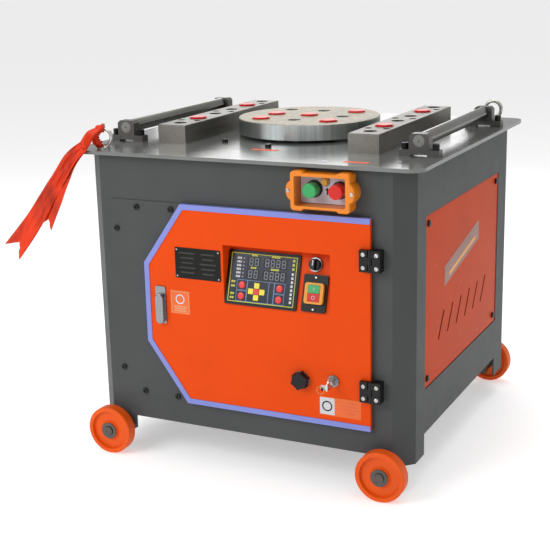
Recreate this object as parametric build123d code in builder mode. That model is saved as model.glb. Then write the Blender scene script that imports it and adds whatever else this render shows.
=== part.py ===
"""Rebar bender: a wheeled sheet-steel cabinet with a driven work disc on its table.

Millimetres, +Z up, +X to the right seen from the door, +Y to the back.  The origin is on the
floor under the centre of the table plate.
"""
import os
from math import acos, atan2, cos, degrees, pi, radians, sin, sqrt, tan

from build123d import *

# ---------------------------------------------------------------- driving dimensions
TABLE_W, TABLE_D, TABLE_T = 833, 788, 8
TABLE_TOP = 712
TABLE_BOTTOM = TABLE_TOP - TABLE_T
CORNER_R = 33

HALF_W, HALF_D = 389.5, 375          # outer faces of the cabinet
POST_CHAMFER = 39                    # set-back of the bent corner of a post
POST_SHEET, SHEET = 4, 3
FRONT_FLANGE = 60                    # post flange that lies in the front or rear face
SIDE_FLANGE_FRONT, SIDE_FLANGE_REAR = 55, 70
LEG_BOTTOM = 63
FRONT_SKIRT, SIDE_SKIRT = 86, 111    # lower edges of the cabinet sheets

DOOR_FACE = -387                     # outer face of the door
DOOR_LEFT, DOOR_RIGHT = -235.5, 306
DOOR_BOTTOM, DOOR_TOP = 144.5, 603.5
DOOR_CUT_W, DOOR_CUT_H = 98, 138     # cut corners on the latch side
DOOR_SHEET, DOOR_DEPTH = 2, 9
EDGING = 1.5                         # thickness of the edging strip
EDGING_LIP = 10.5                    # how far it covers the door's face

POD_LEFT, POD_RIGHT = -36, 217       # sunken control bay in the door
POD_BOTTOM, POD_TOP = 388, 522
POD_DEPTH = 41
POD_TILT = degrees(atan2(POD_DEPTH, POD_TOP - POD_BOTTOM))

DISC_R, DISC_T, DISC_GAP = 168, 37, 6
DISC_PITCH, DISC_HOLE_R = 86, 15.5
BAR_X, BAR_W, BAR_L, BAR_H = 235.5, 71, 491, 43
BAR_HOLE_R = 15
BAR_HOLE_Y = [-205 + 85 * i for i in range(6)]
BAR_PLUG_Y = (BAR_HOLE_Y[1], BAR_HOLE_Y[4])
PLUG_LIP, PLUG_HEAD_T = 5.5, 4
THREADED_X, THREADED_Y = 350, 330    # spare threaded holes at two table corners

ROLLER_X, ROLLER_Z, ROLLER_R = 359, TABLE_TOP + 33, 15
ROLLER_SPAN = 245.5                  # outer faces of the roller brackets
BRACKET_T = 24
JOURNAL_R = 12.5

WHEEL_R, WHEEL_X = 56, 338
WHEEL_OUT, WHEEL_IN = 420, 393       # distance of its faces from the middle of the machine
AXLE_R, AXLE_END = 11, 424
RUNNING = 0.05                       # radial clearance of a shaft in its bore
GAP = 0.3                            # between moving pieces that only face each other

EYE_X, EYE_Y = 347, 355
EYE_RING_R, EYE_WIRE_R = 20, 4.5     # centre-line and wire radius of a lifting eye
EYE_CENTRE_Z = TABLE_TOP + 26

MAIN_MODULE, MAIN_TEETH, LAY_PINION_TEETH = 4, 57, 15
FAST_MODULE, LAY_TEETH, INPUT_TEETH = 2.5, 60, 15
LAY_X = -MAIN_MODULE * (MAIN_TEETH + LAY_PINION_TEETH) / 2
INPUT_Y = FAST_MODULE * (LAY_TEETH + INPUT_TEETH) / 2
MOTOR_X, MOTOR_Y, MOTOR_R = 165, 175, 100
BIG_PULLEY_R, SMALL_PULLEY_R = 120, 42
PULLEY_BOTTOM, PULLEY_H = 490, 38
BELT_Z = (500, 518)                  # middle of each V-belt

TABLE_HOLE_R, SPINDLE_FLANGE_R, SPINDLE_R = 65, 60, 35
CASE_X = (-238, 138)
CASE_HALF_Y, CASE_WALL = 138, 10
CASE_BOTTOM, CASE_TOP = 540, 690

HINGE_Z = (518, 234)
HINGE_X, HINGE_Y = 308.5, -395         # pin axis of the door
HINGE_H, HINGE_LEAF = 46, 17.5

GUARD_X, GUARD_Z = 205, 657
BUTTON_X, BUTTON_Z = (180, 238), 658
LAMP_X, LAMP_Z = 205, 674

LATCH_X, LATCH_Z = -197, 383
CAP_X, CAP_Z = 147, 239
LOCK_X, LOCK_Z = 222, 246

SELECTOR = (172, 106)                # across and up the sloping floor of the control bay
SWITCH = (177, 45)
HMI = (51, 63)
HMI_W, HMI_H = 172, 120

os.makedirs("parts", exist_ok=True)


# ---------------------------------------------------------------- helpers
def save(builder, name):
    """Labels a finished piece and writes its STEP file."""
    builder.part.label = name
    export_step(builder.part, f"parts/{name}.step")


def block(x0, x1, y0, y1, z0, z1, mode=Mode.ADD):
    """Box between two corners, in the part being built."""
    with Locations(((x0 + x1) / 2, (y0 + y1) / 2, (z0 + z1) / 2)):
        Box(abs(x1 - x0), abs(y1 - y0), abs(z1 - z0), mode=mode)


def rod(at, radius, length, turn=(0, 0, 0), mode=Mode.ADD):
    """Cylinder that starts at a point and runs along the turned Z axis."""
    with Locations(Location(at, turn)):
        Cylinder(radius, length, align=(Align.CENTER, Align.CENTER, Align.MIN), mode=mode)


TO_BACK, TO_FRONT = (-90, 0, 0), (90, 0, 0)
TO_RIGHT, TO_LEFT = (0, 90, 0), (0, -90, 0)


def screw_head(at, radius, height, turn):
    """Button head with a hexagon socket and a short shank behind it."""
    rod(at, radius, height, turn)
    with Locations(Location(at, turn) * Location((0, 0, height))):
        Cylinder(radius * 0.42, height * 0.8, mode=Mode.SUBTRACT)


def post_profile(sx, sy, side_flange):
    """Bent section of a corner post in the quarter given by the two signs."""
    bend = POST_SHEET * tan(radians(22.5))
    inner_w, inner_d = HALF_W - POST_SHEET, HALF_D - POST_SHEET
    flange_x = HALF_W - POST_CHAMFER - FRONT_FLANGE
    flange_y = HALF_D - POST_CHAMFER - side_flange
    outline = [(flange_x, HALF_D), (HALF_W - POST_CHAMFER, HALF_D), (HALF_W, HALF_D - POST_CHAMFER),
               (HALF_W, flange_y), (inner_w, flange_y), (inner_w, HALF_D - POST_CHAMFER - bend),
               (HALF_W - POST_CHAMFER - bend, inner_d), (flange_x, inner_d)]
    Polygon(*[(sx * x, sy * y) for x, y in outline], align=None)


def door_outline():
    """Door seen from the front: both corners on the latch side are cut off."""
    Polygon((DOOR_RIGHT, DOOR_BOTTOM), (DOOR_RIGHT, DOOR_TOP), (DOOR_LEFT + DOOR_CUT_W, DOOR_TOP),
            (DOOR_LEFT, DOOR_TOP - DOOR_CUT_H), (DOOR_LEFT, DOOR_BOTTOM + DOOR_CUT_H),
            (DOOR_LEFT + DOOR_CUT_W, DOOR_BOTTOM), align=None)


def front_plane(y):
    """Sketch plane at depth y whose sketches read as seen from the front and extrude forwards."""
    return Plane(origin=(0, y, 0), x_dir=(1, 0, 0), z_dir=(0, -1, 0))


def gear_outline(module, teeth, phase=0):
    """Involute spur gear outline at 20 degrees of pressure, one tooth centred on phase."""
    pitch_r = module * teeth / 2
    base_r = pitch_r * cos(radians(20))
    root_r, tip_r = pitch_r - 1.25 * module, pitch_r + 0.9 * module
    backlash = 0.012 * module / pitch_r * pi
    half = pi / (2 * teeth) + tan(radians(20)) - radians(20) - backlash
    steps = 4
    start_r = max(base_r, root_r)
    flank = []
    for i in range(steps + 1):
        r = start_r + (tip_r - start_r) * i / steps
        roll = acos(base_r / r)
        flank.append((r, half - (tan(roll) - roll)))
    points = []
    for tooth in range(teeth):
        middle = phase + 2 * pi * tooth / teeth
        points.append((root_r, middle - flank[0][1]))
        points += [(r, middle - a) for r, a in flank]
        points += [(r, middle + a) for r, a in reversed(flank)]
        points.append((root_r, middle + flank[0][1]))
    if root_r >= base_r:
        points = [p for i, p in enumerate(points) if i % (2 * steps + 4) not in (0, 2 * steps + 3)]
    Polygon(*[(r * cos(a), r * sin(a)) for r, a in points], align=None)


def v_pulley(radius, bore_r):
    """Two-groove pulley section, to be turned about Z."""
    top = PULLEY_BOTTOM + PULLEY_H
    points = [(bore_r, PULLEY_BOTTOM), (radius, PULLEY_BOTTOM)]
    for z in BELT_Z:
        points += [(radius, z - 7.5), (radius - 11, z - 5), (radius - 11, z + 5), (radius, z + 7.5)]
    points += [(radius, top), (bore_r, top)]
    Polygon(*points, align=None)


pod_plane = Plane(origin=(0, DOOR_FACE, POD_BOTTOM), x_dir=(1, 0, 0),
                  z_dir=(0, -cos(radians(POD_TILT)), sin(radians(POD_TILT))))
POD_SLOPE = (POD_TOP - POD_BOTTOM) / cos(radians(POD_TILT))


def pod_at(across, up, out=0):
    """Location on the control bay's sloping floor, Z pointing out at the operator."""
    return pod_plane.location * Location((across, up, out))


# ---------------------------------------------------------------- table plate
with BuildPart() as table_plate:
    with BuildSketch(Plane.XY.offset(TABLE_BOTTOM)):
        RectangleRounded(TABLE_W, TABLE_D, CORNER_R)
        Circle(TABLE_HOLE_R, mode=Mode.SUBTRACT)
    extrude(amount=TABLE_T)
    with Locations((THREADED_X, -THREADED_Y, TABLE_TOP), (-THREADED_X, THREADED_Y, TABLE_TOP)):
        Cylinder(5.1, 3 * TABLE_T, mode=Mode.SUBTRACT)
    with Locations((-EYE_X, -EYE_Y, TABLE_TOP), (EYE_X, EYE_Y, TABLE_TOP)):
        Cylinder(6, 3 * TABLE_T, mode=Mode.SUBTRACT)
save(table_plate, "table_plate")

# ---------------------------------------------------------------- cabinet
with BuildPart() as corner_posts:
    for side_x in (-1, 1):
        for side_y, side_flange in ((-1, SIDE_FLANGE_FRONT), (1, SIDE_FLANGE_REAR)):
            with BuildSketch(Plane.XY.offset(LEG_BOTTOM)):
                post_profile(side_x, side_y, side_flange)
            extrude(amount=TABLE_BOTTOM - LEG_BOTTOM)
            rod((side_x * WHEEL_X, side_y * HALF_D + 20, WHEEL_R), AXLE_R + 0.5, 40, TO_FRONT, Mode.SUBTRACT)
save(corner_posts, "corner_posts")

FLANGE_X = HALF_W - POST_CHAMFER - FRONT_FLANGE
DOORWAY = (-212, 283, 168, 580)      # opening behind the door: left, right, bottom, top


def doorway_outline():
    """Opening behind the door, with the same cut corners."""
    left, right, bottom, top = DOORWAY
    Polygon((right, bottom), (right, top), (left + DOOR_CUT_W - 8, top), (left, top - DOOR_CUT_H + 8),
            (left, bottom + DOOR_CUT_H - 8), (left + DOOR_CUT_W - 8, bottom), align=None)


with BuildPart() as front_frame:
    with BuildSketch(front_plane(-HALF_D + SHEET)):
        with Locations((0, (FRONT_SKIRT + TABLE_BOTTOM) / 2)):
            Rectangle(2 * FLANGE_X, TABLE_BOTTOM - FRONT_SKIRT)
    extrude(amount=SHEET)
    with BuildSketch(front_plane(-HALF_D + SHEET)):
        doorway_outline()
    extrude(amount=SHEET, mode=Mode.SUBTRACT)
    for x in BUTTON_X:
        rod((x, -HALF_D - 5, BUTTON_Z), 11.2, 20, TO_BACK, Mode.SUBTRACT)
    rod((LAMP_X, -HALF_D - 5, LAMP_Z), 5.2, 20, TO_BACK, Mode.SUBTRACT)
save(front_frame, "front_frame")

PANEL_LEFT, PANEL_RIGHT, PANEL_BOTTOM, PANEL_TOP = -318, 280, 141, 604
with BuildPart() as access_panel:
    with BuildSketch(front_plane(-HALF_D)):
        with Locations(((PANEL_LEFT + DOORWAY[1]) / 2, (PANEL_BOTTOM + PANEL_TOP) / 2)):
            RectangleRounded(DOORWAY[1] - PANEL_LEFT + 20, PANEL_TOP - PANEL_BOTTOM, 8)
    extrude(amount=2)
    with BuildSketch(front_plane(-HALF_D)):
        doorway_outline()
    extrude(amount=2, mode=Mode.SUBTRACT)
save(access_panel, "access_panel")

SIDE_Y0, SIDE_Y1 = -(HALF_D - POST_CHAMFER - SIDE_FLANGE_FRONT), HALF_D - POST_CHAMFER - SIDE_FLANGE_REAR
SIDE_Z0, SIDE_Z1 = 212, 595          # lower and upper edge of a side panel
PANEL_GAP = 1.5
REAR_OPEN_X, REAR_OPEN_Z0, REAR_OPEN_Z1 = 230, 180, 620
with BuildPart() as cabinet_sheets:
    for side_x in (-1, 1):
        outer, inner = side_x * HALF_W, side_x * (HALF_W - SHEET)
        block(inner, outer, SIDE_Y0, SIDE_Y1, SIDE_SKIRT, TABLE_BOTTOM)
        block(inner - side_x, outer + side_x, SIDE_Y0, SIDE_Y1, SIDE_Z0, SIDE_Z1, Mode.SUBTRACT)
        block(inner - side_x * SHEET, inner, SIDE_Y0, SIDE_Y1, SIDE_Z0 - 12, SIDE_Z1 + 12)
        block(inner - side_x * 2 * SHEET, inner + side_x, SIDE_Y0 + 30, SIDE_Y1 - 30,
              SIDE_Z0 + 30, SIDE_Z1 - 30, Mode.SUBTRACT)
    block(-FLANGE_X, FLANGE_X, HALF_D - SHEET, HALF_D, FRONT_SKIRT, TABLE_BOTTOM)
    block(-REAR_OPEN_X, REAR_OPEN_X, HALF_D - 2 * SHEET, HALF_D + 1, REAR_OPEN_Z0, REAR_OPEN_Z1,
          Mode.SUBTRACT)
save(cabinet_sheets, "cabinet_sheets")

SLOT_COUNT, SLOT_PITCH, SLOT_Z0, SLOT_Z1, SLOT_LEAN, SLOT_W = 6, 64, 298, 357, 38, 8
for side_x, name in ((1, "side_panel_right"), (-1, "side_panel_left")):
    face_x = HALF_W - PANEL_GAP if side_x > 0 else -HALF_W + SHEET
    with BuildPart() as side_panel:
        with BuildSketch(Plane.YZ.offset(face_x - SHEET + PANEL_GAP if side_x > 0 else face_x - PANEL_GAP)):
            with Locations(((SIDE_Y0 + SIDE_Y1) / 2, (SIDE_Z0 + SIDE_Z1) / 2)):
                Rectangle(SIDE_Y1 - SIDE_Y0 - 2 * PANEL_GAP, SIDE_Z1 - SIDE_Z0 - 2 * PANEL_GAP)
            for i in range(SLOT_COUNT):
                foot = (-187 + SLOT_PITCH * i, SLOT_Z0)
                head = (-187 + SLOT_LEAN + SLOT_PITCH * i, SLOT_Z1)
                with Locations(Location(((foot[0] + head[0]) / 2, (foot[1] + head[1]) / 2),
                                        degrees(atan2(SLOT_Z1 - SLOT_Z0, SLOT_LEAN)))):
                    SlotOverall(sqrt(SLOT_LEAN ** 2 + (SLOT_Z1 - SLOT_Z0) ** 2), SLOT_W, mode=Mode.SUBTRACT)
        extrude(amount=SHEET - PANEL_GAP)
    save(side_panel, name)

LOUVRE_COUNT, LOUVRE_PITCH = 8, 22
with BuildPart() as rear_panel:
    block(-REAR_OPEN_X - 20, REAR_OPEN_X + 20, HALF_D, HALF_D + 2, REAR_OPEN_Z0 - 20, REAR_OPEN_Z1 + 20)
    for column in (-1, 1):
        for row in range(LOUVRE_COUNT):
            z = 290 + LOUVRE_PITCH * row
            block(column * 110 - 75, column * 110 + 75, HALF_D + 2, HALF_D + 8, z, z + 12)
            block(column * 110 - 72, column * 110 + 72, HALF_D - 1, HALF_D + 6, z - 1, z + 9.5, Mode.SUBTRACT)
save(rear_panel, "rear_panel")

ACCESS_SCREWS = [(-256, 589), (-168, 589), (-311, 537), (-312, 205), (-257, 153), (-170, 151)]
SIDE_SCREWS = [(SIDE_Y0 + 18, SIDE_Z1 - 19), (SIDE_Y1 - 22, SIDE_Z1 - 19),
               (SIDE_Y0 + 18, SIDE_Z0 + 21), (SIDE_Y1 - 24, SIDE_Z0 + 21)]
BAR_SCREWS = [(x, y) for x in (-21, 21) for y in (-162, 7, 177)]
BRACKET_SCREWS = [(x, y) for x in (-34, 34) for y in (-1, 1)]
with BuildPart() as black_screws:
    for x, z in ACCESS_SCREWS:
        screw_head((x, -HALF_D - 2, z), 6.5, 4, TO_FRONT)
    for y, z in SIDE_SCREWS:
        for side_x, turn in ((1, TO_RIGHT), (-1, TO_LEFT)):
            screw_head((side_x * (HALF_W - PANEL_GAP), y, z), 7, 4.5, turn)
    for x in (-REAR_OPEN_X - 8, 0, REAR_OPEN_X + 8):
        for z in (REAR_OPEN_Z0 - 10, REAR_OPEN_Z1 + 10):
            screw_head((x, HALF_D + 2, z), 6.5, 4, TO_BACK)
    for side_x in (-1, 1):
        for x, y in BAR_SCREWS:
            screw_head((side_x * BAR_X + x, y, TABLE_TOP + BAR_H - 12), 8, 9, (0, 0, 0))
        for x, y in BRACKET_SCREWS:
            at = (side_x * ROLLER_X + x, y * (ROLLER_SPAN - BRACKET_T / 2), TABLE_TOP + 14)
            screw_head(at, 7.5, 13, (0, 0, 0))
    for at in ((-129, -187, TABLE_TOP), (-1, -223, TABLE_TOP)):
        with BuildSketch(Plane(origin=at)):
            RegularPolygon(8, 6)
        extrude(amount=7)
save(black_screws, "black_screws")

with BuildPart() as base_rails:
    block(-345, 345, -HALF_D + POST_SHEET, HALF_D - POST_SHEET, 115, 135)
    block(-HALF_W + POST_SHEET, HALF_W - POST_SHEET, -300, 300, 115, 135)
    block(-305, 305, -331, 331, 100, 150, Mode.SUBTRACT)
    block(50, 305, 60, 290, 127, 135)
    block(50, 90, -331, 331, 115, 135)
    block(270, 305, 60, 331, 115, 135)
save(base_rails, "base_rails")

# ---------------------------------------------------------------- wheels
for side_x in (-1, 1):
    for side_y in (-1, 1):
        with BuildPart() as wheel:
            with BuildSketch(Plane(origin=(side_x * WHEEL_X, 0, WHEEL_R), x_dir=(1, 0, 0), z_dir=(0, 0, 1))):
                half_section = [(AXLE_R + RUNNING, WHEEL_IN), (22, WHEEL_IN), (22, WHEEL_IN + 6),
                                (44, WHEEL_IN + 7), (46, WHEEL_IN), (54, WHEEL_IN), (WHEEL_R, WHEEL_IN + 2),
                                (WHEEL_R, WHEEL_OUT - 2), (54, WHEEL_OUT), (46, WHEEL_OUT),
                                (44, WHEEL_OUT - 7), (24, WHEEL_OUT - 6), (21, WHEEL_OUT - 2),
                                (AXLE_R + RUNNING, WHEEL_OUT - 2)]
                Polygon(*[(r, side_y * y) for r, y in half_section], align=None)
            revolve(axis=Axis((side_x * WHEEL_X, 0, WHEEL_R), (0, 1, 0)))
        ends = "front" if side_y < 0 else "rear"
        save(wheel, f"wheel_{ends}_{'left' if side_x < 0 else 'right'}")

with BuildPart() as axles:
    for side_x in (-1, 1):
        for side_y in (-1, 1):
            outward = TO_FRONT if side_y < 0 else TO_BACK
            x = side_x * WHEEL_X
            rod((x, side_y * (HALF_D - 40), WHEEL_R), AXLE_R, AXLE_END - HALF_D + 40, outward)
            rod((x, side_y * (WHEEL_OUT - 2 + GAP), WHEEL_R), 18.5, 2.5, outward)
            rod((x, side_y * (HALF_D + 2), WHEEL_R), 17, WHEEL_IN - HALF_D - 2 - GAP, outward)
            block(x - side_x * 26, x + side_x * 9, side_y * (HALF_D - 40), side_y * (HALF_D - POST_SHEET), 38, 72)
save(axles, "axles")

# ---------------------------------------------------------------- work disc and spindle
DISC_BOTTOM = TABLE_TOP + DISC_GAP
DISC_TOP = DISC_BOTTOM + DISC_T
DISC_HOLES = [(x * DISC_PITCH, y * DISC_PITCH) for x in (-1, 0, 1) for y in (-1, 0, 1)]
DISC_PLUGS = [(x * DISC_PITCH, y * DISC_PITCH) for x, y in ((-1, -1), (-1, 0), (0, 0), (1, 1), (1, -1))]
with BuildPart() as work_disc:
    with BuildSketch(Plane.XY.offset(DISC_BOTTOM)):
        Circle(DISC_R)
    extrude(amount=DISC_T)
    chamfer(work_disc.edges().group_by(Axis.Z)[-1], 1.5)
    chamfer(work_disc.edges().group_by(Axis.Z)[0], 1)
    with BuildSketch(Plane.XY.offset(DISC_BOTTOM)):
        with Locations(*DISC_HOLES):
            Circle(DISC_HOLE_R)
    extrude(amount=DISC_T, mode=Mode.SUBTRACT)
save(work_disc, "work_disc")


def plugs(places, hole_r, top):
    """Plastic plugs: a domed head over the hole and a hollow stem in it."""
    for x, y in places:
        rod((x, y, top), hole_r + PLUG_LIP, PLUG_HEAD_T - 1)
        rod((x, y, top + PLUG_HEAD_T - 1), hole_r + PLUG_LIP - 3, 1)
        rod((x, y, top - 14), hole_r - 0.2, 14)
        rod((x, y, top - 14), hole_r - 3, 12, mode=Mode.SUBTRACT)


with BuildPart() as disc_plugs:
    plugs(DISC_PLUGS, DISC_HOLE_R, DISC_TOP)
save(disc_plugs, "disc_plugs")

with BuildPart() as spindle:
    rod((0, 0, DISC_BOTTOM - 12), SPINDLE_FLANGE_R, 12)
    rod((0, 0, 636), SPINDLE_R, DISC_BOTTOM - 12 - 636)
    rod((0, 0, 598), 30, 38)
    rod((0, 0, CASE_BOTTOM + 2), 20, 598 - CASE_BOTTOM - 2)
save(spindle, "spindle")

with BuildPart() as main_gear:
    with BuildSketch(Plane.XY.offset(600)):
        gear_outline(MAIN_MODULE, MAIN_TEETH)
        Circle(30, mode=Mode.SUBTRACT)
        with PolarLocations(78, 6):
            Circle(16, mode=Mode.SUBTRACT)
    extrude(amount=34)
save(main_gear, "main_gear")

# ---------------------------------------------------------------- gearbox
with BuildPart() as layshaft:
    rod((LAY_X, 0, CASE_BOTTOM + 2), 14, CASE_TOP + 8 - CASE_BOTTOM - 2)
    with BuildSketch(Plane(origin=(LAY_X, 0, 597))):
        gear_outline(MAIN_MODULE, LAY_PINION_TEETH)
    extrude(amount=40)
save(layshaft, "layshaft")

with BuildPart() as lay_gear:
    with BuildSketch(Plane(origin=(LAY_X, 0, 556))):
        gear_outline(FAST_MODULE, LAY_TEETH, pi / 2)
        Circle(14, mode=Mode.SUBTRACT)
        with PolarLocations(44, 5):
            Circle(13, mode=Mode.SUBTRACT)
    extrude(amount=24)
save(lay_gear, "lay_gear")

with BuildPart() as input_shaft:
    rod((LAY_X, INPUT_Y, PULLEY_BOTTOM - 4), 12, CASE_TOP + 8 - PULLEY_BOTTOM + 4)
    with BuildSketch(Plane(origin=(LAY_X, INPUT_Y, 553))):
        gear_outline(FAST_MODULE, INPUT_TEETH, -pi / 2 + pi / INPUT_TEETH)
    extrude(amount=30)
save(input_shaft, "input_shaft")

with BuildPart() as driven_pulley:
    with BuildSketch(Plane.XZ):
        v_pulley(BIG_PULLEY_R, 12)
    revolve(axis=Axis.Z)
    with PolarLocations(70, 5):
        with Locations((0, 0, PULLEY_BOTTOM + PULLEY_H / 2)):
            Cylinder(22, 2 * PULLEY_H, mode=Mode.SUBTRACT)
driven_pulley.part.move(Location((LAY_X, INPUT_Y, 0)))
save(driven_pulley, "driven_pulley")

with BuildPart() as motor_pulley:
    with BuildSketch(Plane.XZ):
        v_pulley(SMALL_PULLEY_R, 14)
    revolve(axis=Axis.Z)
motor_pulley.part.move(Location((MOTOR_X, MOTOR_Y, 0)))
save(motor_pulley, "motor_pulley")


def belt_loop(grow):
    """Belt line round both pulleys, grown outwards."""
    with Locations((LAY_X, INPUT_Y)):
        Circle(BIG_PULLEY_R - 9 + grow)
    with Locations((MOTOR_X, MOTOR_Y)):
        Circle(SMALL_PULLEY_R - 9 + grow)
    make_hull()


with BuildPart() as v_belts:
    for z in BELT_Z:
        with BuildSketch(Plane.XY.offset(z - 4.2)):
            belt_loop(8)
        extrude(amount=8.4)
    for z in BELT_Z:
        with BuildSketch(Plane.XY.offset(z - 6)):
            belt_loop(0)
        extrude(amount=12, mode=Mode.SUBTRACT)
save(v_belts, "v_belts")

with BuildPart() as gearbox_case:
    block(*CASE_X, -CASE_HALF_Y, CASE_HALF_Y, CASE_BOTTOM, CASE_TOP)
    block(CASE_X[0] + CASE_WALL, CASE_X[1] - CASE_WALL, -CASE_HALF_Y + CASE_WALL, CASE_HALF_Y - CASE_WALL,
          CASE_BOTTOM + CASE_WALL, CASE_TOP, Mode.SUBTRACT)
    rod((0, 0, CASE_BOTTOM - 5), 20 + RUNNING, 30, mode=Mode.SUBTRACT)
    rod((LAY_X, 0, CASE_BOTTOM - 5), 14 + RUNNING, 30, mode=Mode.SUBTRACT)
    rod((LAY_X, INPUT_Y, CASE_BOTTOM - 5), 12 + RUNNING, 30, mode=Mode.SUBTRACT)
save(gearbox_case, "gearbox_case")

with BuildPart() as gearbox_cover:
    block(*CASE_X, -CASE_HALF_Y, CASE_HALF_Y, CASE_TOP, TABLE_BOTTOM)
    rod((0, 0, CASE_TOP), SPINDLE_R + RUNNING, 20, mode=Mode.SUBTRACT)
    rod((LAY_X, 0, CASE_TOP), 14 + RUNNING, 10, mode=Mode.SUBTRACT)
    rod((LAY_X, INPUT_Y, CASE_TOP), 12 + RUNNING, 10, mode=Mode.SUBTRACT)
save(gearbox_cover, "gearbox_cover")

# ---------------------------------------------------------------- motor
MOTOR_BOTTOM, MOTOR_TOP = 135, 440
with BuildPart() as motor_body:
    rod((MOTOR_X, MOTOR_Y, MOTOR_BOTTOM), MOTOR_R + 12, 10)
    rod((MOTOR_X, MOTOR_Y, MOTOR_BOTTOM + 10), MOTOR_R - 8, MOTOR_TOP - MOTOR_BOTTOM - 10)
    with BuildSketch(Plane.XY.offset(190)):
        with Locations((MOTOR_X, MOTOR_Y)):
            Circle(MOTOR_R - 9)
            with PolarLocations(MOTOR_R - 6, 24):
                Rectangle(12, 4)
    extrude(amount=190)
    block(MOTOR_X - 30, MOTOR_X + 30, MOTOR_Y - MOTOR_R - 45, MOTOR_Y - MOTOR_R + 20, 300, 360)
    rod((MOTOR_X, MOTOR_Y, MOTOR_TOP - 40), 14 + RUNNING, 60, mode=Mode.SUBTRACT)
save(motor_body, "motor_body")

with BuildPart() as motor_shaft:
    rod((MOTOR_X, MOTOR_Y, MOTOR_TOP - 38), 14, PULLEY_BOTTOM + PULLEY_H + 4 - MOTOR_TOP + 38)
save(motor_shaft, "motor_shaft")

with BuildPart() as electrical_box:
    block(-HALF_W + 2 * SHEET, -290, -180, 120, 240, 520)
    block(-290, -287, -185, 125, 235, 525)
    for y in (-120, -20, 80):
        block(-287, -284, y - 8, y + 8, 372, 388)
save(electrical_box, "electrical_box")

# ---------------------------------------------------------------- table fittings
for side_x, name in ((-1, "hole_bar_left"), (1, "hole_bar_right")):
    with BuildPart() as hole_bar:
        block(side_x * BAR_X - BAR_W / 2, side_x * BAR_X + BAR_W / 2, -BAR_L / 2, BAR_L / 2,
              TABLE_TOP, TABLE_TOP + BAR_H)
        chamfer(hole_bar.edges().group_by(Axis.Z)[-1], 1)
        for y in BAR_HOLE_Y:
            rod((side_x * BAR_X, y, TABLE_TOP), BAR_HOLE_R, BAR_H + 1, mode=Mode.SUBTRACT)
        for x, y in BAR_SCREWS:
            rod((side_x * BAR_X + x, y, TABLE_TOP + BAR_H - 12), 8.5, 20, mode=Mode.SUBTRACT)
    save(hole_bar, name)

with BuildPart() as bar_plugs:
    plugs([(x * BAR_X, y) for x in (-1, 1) for y in BAR_PLUG_Y], BAR_HOLE_R, TABLE_TOP + BAR_H)
save(bar_plugs, "bar_plugs")

with BuildPart() as roller_brackets:
    for side_x in (-1, 1):
        for side_y in (-1, 1):
            x, y0, y1 = side_x * ROLLER_X, side_y * (ROLLER_SPAN - BRACKET_T), side_y * ROLLER_SPAN
            with BuildSketch(front_plane(max(y0, y1))):
                right_half = [(44, 14), (44, 0), (18, 0), (18, 4)]
                outline = [(22, 14), *right_half]
                outline = [(16, 48), (22, 42), *outline]
                with Locations((x, TABLE_TOP)):
                    Polygon(*outline, *[(-u, v) for u, v in reversed(outline)], align=None)
            extrude(amount=BRACKET_T)
            rod((x, y0 - side_y, ROLLER_Z), JOURNAL_R + RUNNING, BRACKET_T + 2,
                TO_BACK if side_y > 0 else TO_FRONT, Mode.SUBTRACT)
save(roller_brackets, "roller_brackets")

for side_x, name in ((-1, "roller_left"), (1, "roller_right")):
    with BuildPart() as roller:
        rod((side_x * ROLLER_X, -ROLLER_SPAN, ROLLER_Z), JOURNAL_R, 2 * ROLLER_SPAN, TO_BACK)
        inner_half = ROLLER_SPAN - BRACKET_T - GAP
        rod((side_x * ROLLER_X, -inner_half, ROLLER_Z), ROLLER_R, 2 * inner_half, TO_BACK)
        for side_y, turn in ((-1, TO_BACK), (1, TO_FRONT)):
            rod((side_x * ROLLER_X, side_y * ROLLER_SPAN, ROLLER_Z), 1.5, 4, turn, Mode.SUBTRACT)
    save(roller, name)

with BuildPart() as eye_bolts:
    for side in (-1, 1):
        x, y = side * EYE_X, side * EYE_Y
        rod((x, y, TABLE_BOTTOM - 8), 5.9, TABLE_T + 8)
        rod((x, y, TABLE_TOP), 13, 4)
        with Locations((x, y, TABLE_TOP + 4)):
            Cone(9, 5, 4, align=(Align.CENTER, Align.CENTER, Align.MIN))
        with Locations(Location((x, y, EYE_CENTRE_Z), (90, 0, 25))):
            Torus(EYE_RING_R, EYE_WIRE_R)
save(eye_bolts, "eye_bolts")

# ---------------------------------------------------------------- button station on the front
GUARD_W, GUARD_H, GUARD_DEPTH = 132, 82, 36
GUARD_TAB, GUARD_STEP = 30, 4
with BuildPart() as button_plate:
    with BuildSketch(front_plane(-HALF_D)):
        with Locations((GUARD_X, GUARD_Z)):
            RectangleRounded(112, 60, 3)
        with Locations(*[(x, BUTTON_Z) for x in BUTTON_X]):
            Circle(11.2, mode=Mode.SUBTRACT)
        with Locations((LAMP_X, LAMP_Z)):
            Circle(5.2, mode=Mode.SUBTRACT)
    extrude(amount=2)
save(button_plate, "button_plate")

with BuildPart() as button_guard:
    with BuildSketch(front_plane(-HALF_D)):
        with Locations((GUARD_X, GUARD_Z)):
            RectangleRounded(GUARD_W, GUARD_H - 2 * GUARD_STEP, 6)
        for corner in (-1, 1):
            with Locations((GUARD_X + corner * (GUARD_W - GUARD_TAB) / 2, GUARD_Z)):
                RectangleRounded(GUARD_TAB, GUARD_H, 8)
        with Locations((GUARD_X - GUARD_W / 2 + 4, GUARD_Z), (GUARD_X + GUARD_W / 2 - 4, GUARD_Z)):
            Ellipse(14.5, 21)
    extrude(amount=GUARD_DEPTH)
    chamfer(button_guard.edges().group_by(Axis.Y)[0], 2)
    with BuildSketch(front_plane(-HALF_D)):
        with Locations((GUARD_X, GUARD_Z)):
            RectangleRounded(114, 62, 4)
    extrude(amount=GUARD_DEPTH, mode=Mode.SUBTRACT)
save(button_guard, "button_guard")

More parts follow.
